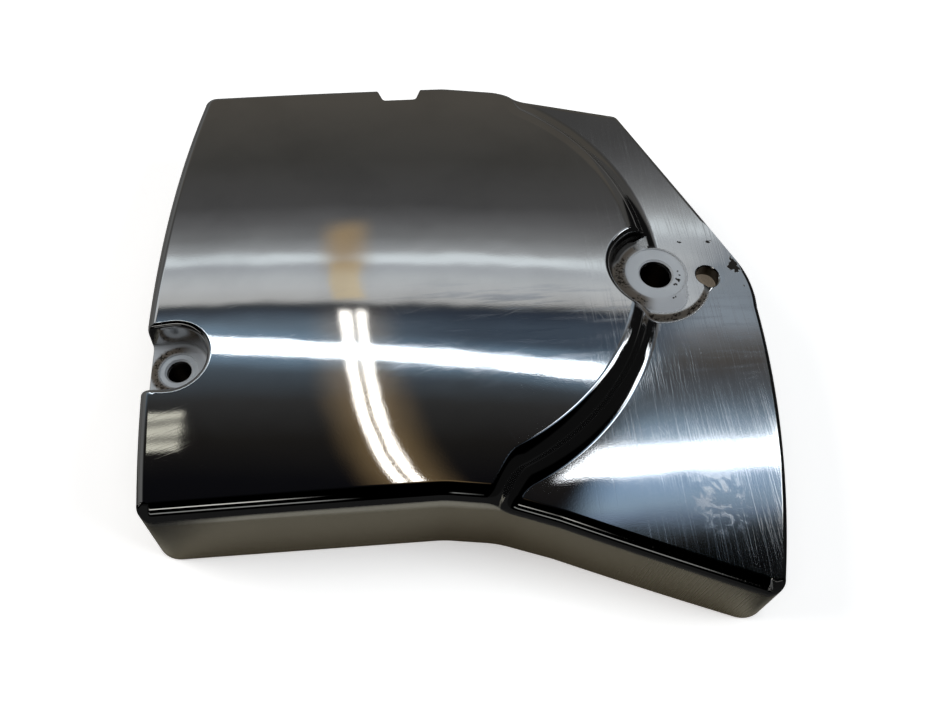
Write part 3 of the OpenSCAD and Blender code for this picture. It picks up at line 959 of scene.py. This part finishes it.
def cast_material(finish):
    """The unpolished inside: grey sand-cast aluminium."""
    material, tree, surface, place = metal("Cast aluminium")
    cloud = noise(tree, place, 60.0, 5.0)
    colour = ramp(tree, cloud, [(0.3, (0.30, 0.295, 0.28)), (0.7, tuple(finish.cast))])
    linked(tree, surface["Base Color"], colour)
    surface["Metallic"].default_value = 0.2
    linked(tree, surface["Roughness"], remap(tree, cloud, 0.3, 0.7, 0.62, 0.48))
    linked(tree, surface["Normal"], relief(tree, noise(tree, place, 1500.0, 4.0), 0.5, 0.0003))
    return material


def bored_material():
    """Bore walls: faint rings from the drill, in metal painted dark as the painted shade of the deep bore."""
    material, tree, surface, place = metal("Bored aluminium")
    wave = noise(tree, place, 300.0)
    rings = maths(tree, "SINE", plus(tree, times(tree, axes(tree, place)["Z"], 14000.0), wave))
    colour = blend_colour(tree, remap(tree, wave, 0.35, 0.65), (0.10, 0.095, 0.09), (0.2, 0.195, 0.19))
    linked(tree, surface["Base Color"], colour)
    surface["Metallic"].default_value = 1.0
    linked(tree, surface["Roughness"], remap(tree, wave, 0.3, 0.7, 0.3, 0.42))
    linked(tree, surface["Normal"], relief(tree, rings, 0.3, 0.0001))
    return material


# Stage


class Room:
    """Builds the world's colours from the place where a direction meets a ceiling one metre up."""

    def __init__(self, tree, stage):
        self.tree, self.window_slope = tree, stage.window_slope
        self.way = axes(tree, node(tree, "ShaderNodeTexCoord").outputs["Generated"])
        up = most(tree, self.way["Z"], 0.04)
        self.x, self.y = (maths(tree, "DIVIDE", self.way[axis], up) for axis in "XY")
        self.colour = None

    def band(self, value, middle, half, soft):
        """1 within half of the middle, fading out over soft."""
        away = maths(self.tree, "ABSOLUTE", minus(self.tree, value, middle))
        return remap(self.tree, away, half + soft, half)

    def between(self, value, low, high, soft):
        rise = remap(self.tree, value, low - soft, low)
        return times(self.tree, rise, remap(self.tree, value, high + soft, high))

    def shifted(self, value, by, share):
        """A coordinate less a share of another one."""
        return minus(self.tree, value, times(self.tree, by, share))

    def add(self, parts, colour):
        """Adds light where all the parts are 1."""
        lit = blend_colour(self.tree, times(self.tree, *parts), (0, 0, 0), colour)
        self.colour = blend_colour(self.tree, 1.0, self.colour, lit, "ADD")

    def cover(self, parts, colour):
        """Puts a colour over the others where all the parts are 1."""
        amount = times(self.tree, *parts) if len(parts) > 1 else parts[0]
        self.colour = blend_colour(self.tree, amount, self.colour, colour)

    def ceiling(self):
        """The ceiling over the bulge, over the wing, and far off to both sides."""
        tree, x, y = self.tree, self.x, self.y
        v = plus(tree, y, times(tree, x, 0.12), 0.054)
        self.colour = ramp(tree, v, CEILING, CEILING_REACH)
        shadow = (remap(tree, x, -0.22, 0.10), self.between(v, 0.575, 0.655, 0.02), 0.7)
        self.cover(shadow, (0.02, 0.028, 0.045))
        slant = self.shifted(x, minus(tree, y, WING_PIVOT), 0.6)
        self.cover((remap(tree, slant, 0.19, 0.27),), ramp(tree, y, WING_CEILING, WING_REACH))
        ahead = remap(tree, self.way["Y"], 0.0, 0.2)
        self.cover((remap(tree, x, -0.9, -1.6), ahead), (0.11, 0.11, 0.108))
        across = self.shifted(y, x, 1.1)
        self.cover((remap(tree, x, 0.60, 0.82), remap(tree, across, 0.1, -0.1)), (0.005, 0.005, 0.005))

    def lamps(self):
        """The long lamp over the bulge with its blue fringe, the wing's and the one at its foot."""
        tree, x, y = self.tree, self.x, self.y
        along = plus(tree, y, times(tree, x, 0.2), 0.07)
        fringe = (self.band(along, 0.560, 0.014, 0.045), self.between(x, -0.60, 0.28, 0.03))
        self.add(fringe, (0.07, 0.115, 0.16))
        strip = (self.band(along, 0.560, 0.0165, 0.004), self.between(x, -0.62, 0.285, 0.01))
        self.add(strip, (2.4, 2.5, 2.6))
        slant = self.shifted(x, minus(tree, y, WING_PIVOT), 1.5)
        over_wing = (self.band(y, 0.298, 0.020, 0.005), self.between(slant, 0.18, 1.2, 0.01))
        self.add(over_wing, (1.7, 1.75, 1.8))
        foot = (self.between(x, 0.50, 0.80, 0.03), self.between(y, 0.20, 0.33, 0.03))
        self.add(foot, (1.5, 1.5, 1.5))

    def bent_lamp(self):
        """The twin tubes that cross the bulge, their glow and the cream patches beyond their end."""
        tree, y = self.tree, self.y
        aside = minus(tree, self.x, minus(tree, ramp(tree, y, BENT_LAMP), BENT_SHIFT))
        tubes = plus(tree, self.band(aside, -0.013, 0.006, 0.005), self.band(aside, 0.012, 0.006, 0.005))
        self.add((tubes, self.between(y, 0.225, 0.612, 0.008)), (2.0, 1.9, 1.75))
        glow = (self.band(aside, 0.0, 0.004, 0.085), self.between(y, 0.14, 0.56, 0.09))
        self.add(glow, (0.145, 0.097, 0.045))
        pale = (self.band(aside, 0.0, 0.016, 0.020), self.between(y, 0.655, 0.755, 0.014), 0.8)
        self.cover(pale, (0.62, 0.50, 0.31))
        upper = (self.band(aside, 0.0, 0.004, 0.055), self.between(y, 0.77, 0.85, 0.07), 0.75)
        self.cover(upper, (0.40, 0.28, 0.145))

    def windows(self):
        """A slatted pane ahead, and a window and a bright line behind the viewer."""
        tree, x, y = self.tree, self.x, self.y
        slats = remap(tree, maths(tree, "SINE", times(tree, y, 190.0)), -2.2, 1.0)
        pane = (self.between(x, -0.45, -0.378, 0.006), self.between(y, 0.335, 0.408, 0.008))
        self.add((*pane, slats), (0.62, 0.60, 0.50))
        back = most(tree, times(tree, self.way["Y"], -1.0), 0.02)
        slope, aside = (maths(tree, "DIVIDE", self.way[axis], back) for axis in "ZX")
        window = self.band(slope, self.window_slope, 0.10, 0.04)
        self.add((window, remap(tree, aside, -0.22, -0.40)), (0.65, 0.63, 0.59))
        line = (self.band(slope, 0.34, 0.05, 0.04), self.between(aside, -0.7, -0.18, 0.08))
        self.add(line, (0.22, 0.22, 0.21))

    def horizon(self):
        """The dim low part of the room ahead."""
        tree = self.tree
        ahead = minus(tree, self.way["Y"], most(tree, self.way["X"], 0.0))
        low = (remap(tree, self.way["Z"], 0.10, 0.02), remap(tree, ahead, 0.0, 0.2))
        self.cover(low, (0.05, 0.048, 0.045))


def room_world(stage):
    """A dim room whose ceiling holds lamps and windows; the camera sees plain white."""
    world = bpy.data.worlds.new("Room")
    bpy.context.scene.world = world
    world.use_nodes = True
    tree = world.node_tree
    tree.nodes.clear()
    room = Room(tree, stage)
    for build in (room.ceiling, room.lamps, room.bent_lamp, room.windows, room.horizon):
        build()
    room.cover((node(tree, "ShaderNodeLightPath").outputs["Is Camera Ray"],), (1, 1, 1))
    background = node(tree, "ShaderNodeBackground", {"Color": room.colour, "Strength": 1.0})
    out = tree.nodes.new("ShaderNodeOutputWorld")
    tree.links.new(background.outputs[0], out.inputs["Surface"])


def floor_material(stage):
    """Pale floor that reads as white with a soft shadow, partly painted from ambient occlusion, and as a
    beige table with painted contact shade in reflections.
    """
    material = bpy.data.materials.new("Floor")
    material.use_nodes = True
    tree = material.node_tree
    tree.nodes.clear()
    rays = node(tree, "ShaderNodeLightPath").outputs
    wide, close = (
        node(tree, "ShaderNodeAmbientOcclusion", {"Distance": reach}, samples=8).outputs["AO"]
        for reach in (0.05, 0.03)
    )
    paper = node(tree, "ShaderNodeBsdfDiffuse", {"Color": (0.9, 0.9, 0.9, 1)})
    # Painted shadow: the floor's glow darkens where ambient occlusion is high
    shadow_tone = ramp(tree, wide, FLOOR_SHADOW_TONES)
    glow = node(tree, "ShaderNodeEmission", {"Color": shadow_tone, "Strength": stage.floor_glow})
    white = node(tree, "ShaderNodeAddShader", {0: paper.outputs[0], 1: glow.outputs[0]})
    apart = axes(tree, node(tree, "ShaderNodeTexCoord").outputs["Object"])
    # Painted reflection: the floor that the part mirrors goes from dark contact shade to beige to black by
    # its openness, and is plain grey to the left and behind
    left = times(tree, remap(tree, apart["X"], -0.13, -0.16), remap(tree, apart["Y"], -0.05, -0.01))
    back = most(tree, left, remap(tree, apart["Y"], 0.07, 0.10))
    shade = blend_colour(tree, back, ramp(tree, close, TABLE_SHADE_TONES), (0.10, 0.098, 0.094))
    # Painted light: under the cover the table glows, so that it lights the inner walls that show through the
    # small hole
    inside = times(tree, remap(tree, wide, 0.32, 0.18), rays["Is Diffuse Ray"])
    shade = blend_colour(tree, inside, shade, (1.3, 1.1, 0.9))
    table = node(tree, "ShaderNodeEmission", {"Color": shade, "Strength": 1.0})
    both = node(
        tree,
        "ShaderNodeMixShader",
        {0: rays["Is Camera Ray"], 1: table.outputs[0], 2: white.outputs[0]},
    )
    out = tree.nodes.new("ShaderNodeOutputMaterial")
    tree.links.new(both.outputs[0], out.inputs["Surface"])
    return material


def add_lamp(name, place, target, power, colour):
    """A soft square lamp that the metal doesn't mirror."""
    light = bpy.data.lights.new(name, "AREA")
    light.shape, light.size, light.size_y = "RECTANGLE", *LAMP_SIZE
    light.energy, light.color = power, colour
    lamp = bpy.data.objects.new(name, light)
    bpy.context.scene.collection.objects.link(lamp)
    lamp.location = place
    lamp.visible_glossy = False
    lamp.rotation_euler = (Vector(target) - Vector(place)).to_track_quat("-Z", "Y").to_euler()


def add_camera():
    """The camera at the photograph's viewing angle."""
    turn, tilt, roll = (math.radians(a) for a in (CAMERA_TURN, CAMERA_TILT, CAMERA_ROLL))
    ahead = Vector((math.sin(turn) * math.cos(tilt), math.cos(turn) * math.cos(tilt), -math.sin(tilt)))
    right = Vector((math.cos(turn), -math.sin(turn), 0))
    up = right.cross(ahead)
    across = right * math.cos(roll) + up * math.sin(roll)
    top = up * math.cos(roll) - right * math.sin(roll)
    data = bpy.data.cameras.new("Camera")
    data.sensor_width, data.lens = 36.0, CAMERA_LENS
    data.clip_start, data.clip_end = 0.01, 20.0
    camera = bpy.data.objects.new("Camera", data)
    bpy.context.scene.collection.objects.link(camera)
    facing = Matrix((across, top, -ahead)).transposed().to_4x4()
    camera.matrix_world = Matrix.Translation(CAMERA_PLACE) @ facing
    bpy.context.scene.camera = camera


# Add-on


def number_property(name, description, default, **more):
    return bpy.props.FloatProperty(name=name, description=description, default=default, min=0.0, **more)


def length_property(name, description, default):
    return number_property(name, description, default, subtype="DISTANCE", unit="LENGTH", precision=4)


def colour_property(name, description, default):
    return bpy.props.FloatVectorProperty(
        name=name, description=description, default=default, size=3, min=0.0, max=1.0, subtype="COLOR"
    )


class CoverShape(bpy.types.PropertyGroup):
    """Sizes of the casting."""

    face_height: length_property("Face height", "Highest point of the raised face", CAD_TOP)
    wing_height: length_property("Wing height", "Height of the wing beside the main bolt", 0.0298)
    wall: length_property("Wall", "Thickness of the cast wall", 0.0035)
    lower_round: length_property("Lower rounding", "Rounding of the lower edge", 0.004)
    side_round: length_property("Side rounding", "Rounding of the left and the upper edge", 0.003)
    right_round: length_property("Right rounding", "Rounding of the right edge", 0.0016)
    bulge_radius: length_property("Bulge radius", "Radius of the bulge, half way down its step", 0.0718)
    step_width: length_property("Step width", "Width of the step from the bulge to the wing", 0.0095)
    pad_height: length_property("Pad height", "Height of the pad round the main bolt", 0.0308)
    edge_floor_height: length_property("Edge floor height", "Height of the edge pocket's floor", 0.0258)
    main_pocket_radius: length_property("Main pocket", "Radius that the pad cuts into the bulge", 0.0142)
    edge_pocket_radius: length_property("Edge pocket radius", "Pocket round the edge bolt", 0.0094)
    main_bore: length_property("Main bore", "Diameter of the main bolt's bore", 0.0094)
    edge_bore: length_property("Edge bore", "Diameter of the edge bolt's bore", 0.0066)
    small_bore: length_property("Small hole", "Diameter of the small hole", 0.007)


class CoverFinish(bpy.types.PropertyGroup):
    """Colours and polish of the metal."""

    metal: colour_property("Metal", "Colour of the polished metal", (0.86, 0.87, 0.88))
    haze: colour_property("Haze", "Colour where the polish has dulled", (0.74, 0.75, 0.76))
    cast: colour_property("Cast", "Colour of the unpolished inside", (0.46, 0.455, 0.44))
    polish: number_property("Polish", "Roughness of the polished face", 0.02, max=1.0, subtype="FACTOR")
    waviness: number_property("Waviness", "Strength of the long waves in the polish", 0.05, max=1.0)
    scratches: number_property("Scratches", "Strength of the hair lines' relief", 0.08, max=1.0)
    skirt_rough: number_property("Skirt", "Roughness that the skirt has more than the face", 0.2, max=1.0)


class CoverStage(bpy.types.PropertyGroup):
    """Floor and light."""

    floor_size: length_property("Floor size", "Side of the square floor", 4.0)
    floor_glow: number_property("Floor glow", "How far the floor is lifted towards white", 0.6, max=2.0)
    lamp_power: number_property("Lamp power", "Power of each soft lamp", 9.0, unit="POWER")
    window_slope: number_property("Window slope", "Slope up to the window behind the viewer", 1.1)


class OBJECT_OT_make_cover(bpy.types.Operator):
    """Models the polished casting and gives it its materials"""

    bl_idname = "object.make_sprocket_cover"
    bl_label = "Make Cover"

    def execute(self, context):
        casting = Casting(context.scene.cover_shape)
        finish = context.scene.cover_finish
        vertices, faces, slots = shell_geometry(casting)
        mesh = bpy.data.meshes.new("Cover")
        mesh.from_pydata((vertices * MM).tolist(), [], faces)
        mesh.polygons.foreach_set("material_index", slots)
        cover = bpy.data.objects.new("Cover", mesh)
        context.scene.collection.objects.link(cover)
        for material in (polished_material(finish), cast_material(finish), bored_material()):
            mesh.materials.append(material)
        add_post(cover, (0, 0), MAIN_POST_R, casting.main_bore_r - 0.01, casting.pad_z - 2.3, 144)
        add_post(cover, EDGE_BOLT, EDGE_POST_R, casting.edge_bore_r - 0.01, casting.floor_z - 2, 96)
        cut_notch(cover)
        co, d = set_normals(cover, casting)
        set_masks(cover, casting, co, d)
        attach(cover, "root")
        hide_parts(NODE)
        return {"FINISHED"}


class SCENE_OT_make_stage(bpy.types.Operator):
    """Makes the floor, the room, the lamps and the camera"""

    bl_idname = "scene.make_cover_stage"
    bl_label = "Make Stage"

    def execute(self, context):
        stage = context.scene.cover_stage
        bpy.ops.object.select_all(action="DESELECT")
        bpy.ops.mesh.primitive_plane_add(size=stage.floor_size, location=(0, 0, -0.0002))
        floor = context.object
        floor.name = "Floor"
        floor.data.materials.append(floor_material(stage))
        room_world(stage)
        middle = (-0.055, 0.0, 0.02)
        add_lamp("Left lamp", (-1.1, 0.25, 0.75), middle, stage.lamp_power, (1.0, 0.98, 0.95))
        add_lamp("Right lamp", (1.0, -0.3, 0.8), middle, stage.lamp_power, (0.95, 0.98, 1.0))
        add_camera()
        context.scene.view_settings.view_transform = "Standard"
        return {"FINISHED"}


class VIEW3D_PT_cover(bpy.types.Panel):
    """Buttons and sizes of the sprocket cover"""

    bl_idname = "VIEW3D_PT_sprocket_cover"
    bl_label = "Sprocket Cover"
    bl_space_type = "VIEW_3D"
    bl_region_type = "UI"
    bl_category = "Cover"

    def draw(self, context):
        layout = self.layout
        layout.operator(OBJECT_OT_make_cover.bl_idname)
        layout.operator(SCENE_OT_make_stage.bl_idname)
        for group in (context.scene.cover_shape, context.scene.cover_finish, context.scene.cover_stage):
            box = layout.box()
            for name in group.__annotations__:
                box.prop(group, name)


CLASSES = (
    CoverShape,
    CoverFinish,
    CoverStage,
    OBJECT_OT_make_cover,
    SCENE_OT_make_stage,
    VIEW3D_PT_cover,
)


def register():
    for cls in CLASSES:
        bpy.utils.register_class(cls)
    bpy.types.Scene.cover_shape = bpy.props.PointerProperty(type=CoverShape)
    bpy.types.Scene.cover_finish = bpy.props.PointerProperty(type=CoverFinish)
    bpy.types.Scene.cover_stage = bpy.props.PointerProperty(type=CoverStage)


def unregister():
    for name in ("cover_shape", "cover_finish", "cover_stage"):
        delattr(bpy.types.Scene, name)
    for cls in reversed(CLASSES):
        bpy.utils.unregister_class(cls)


def main():
    register()
    bpy.ops.object.make_sprocket_cover()
    bpy.ops.scene.make_cover_stage()
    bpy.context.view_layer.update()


if __name__ == "__main__":
    main()
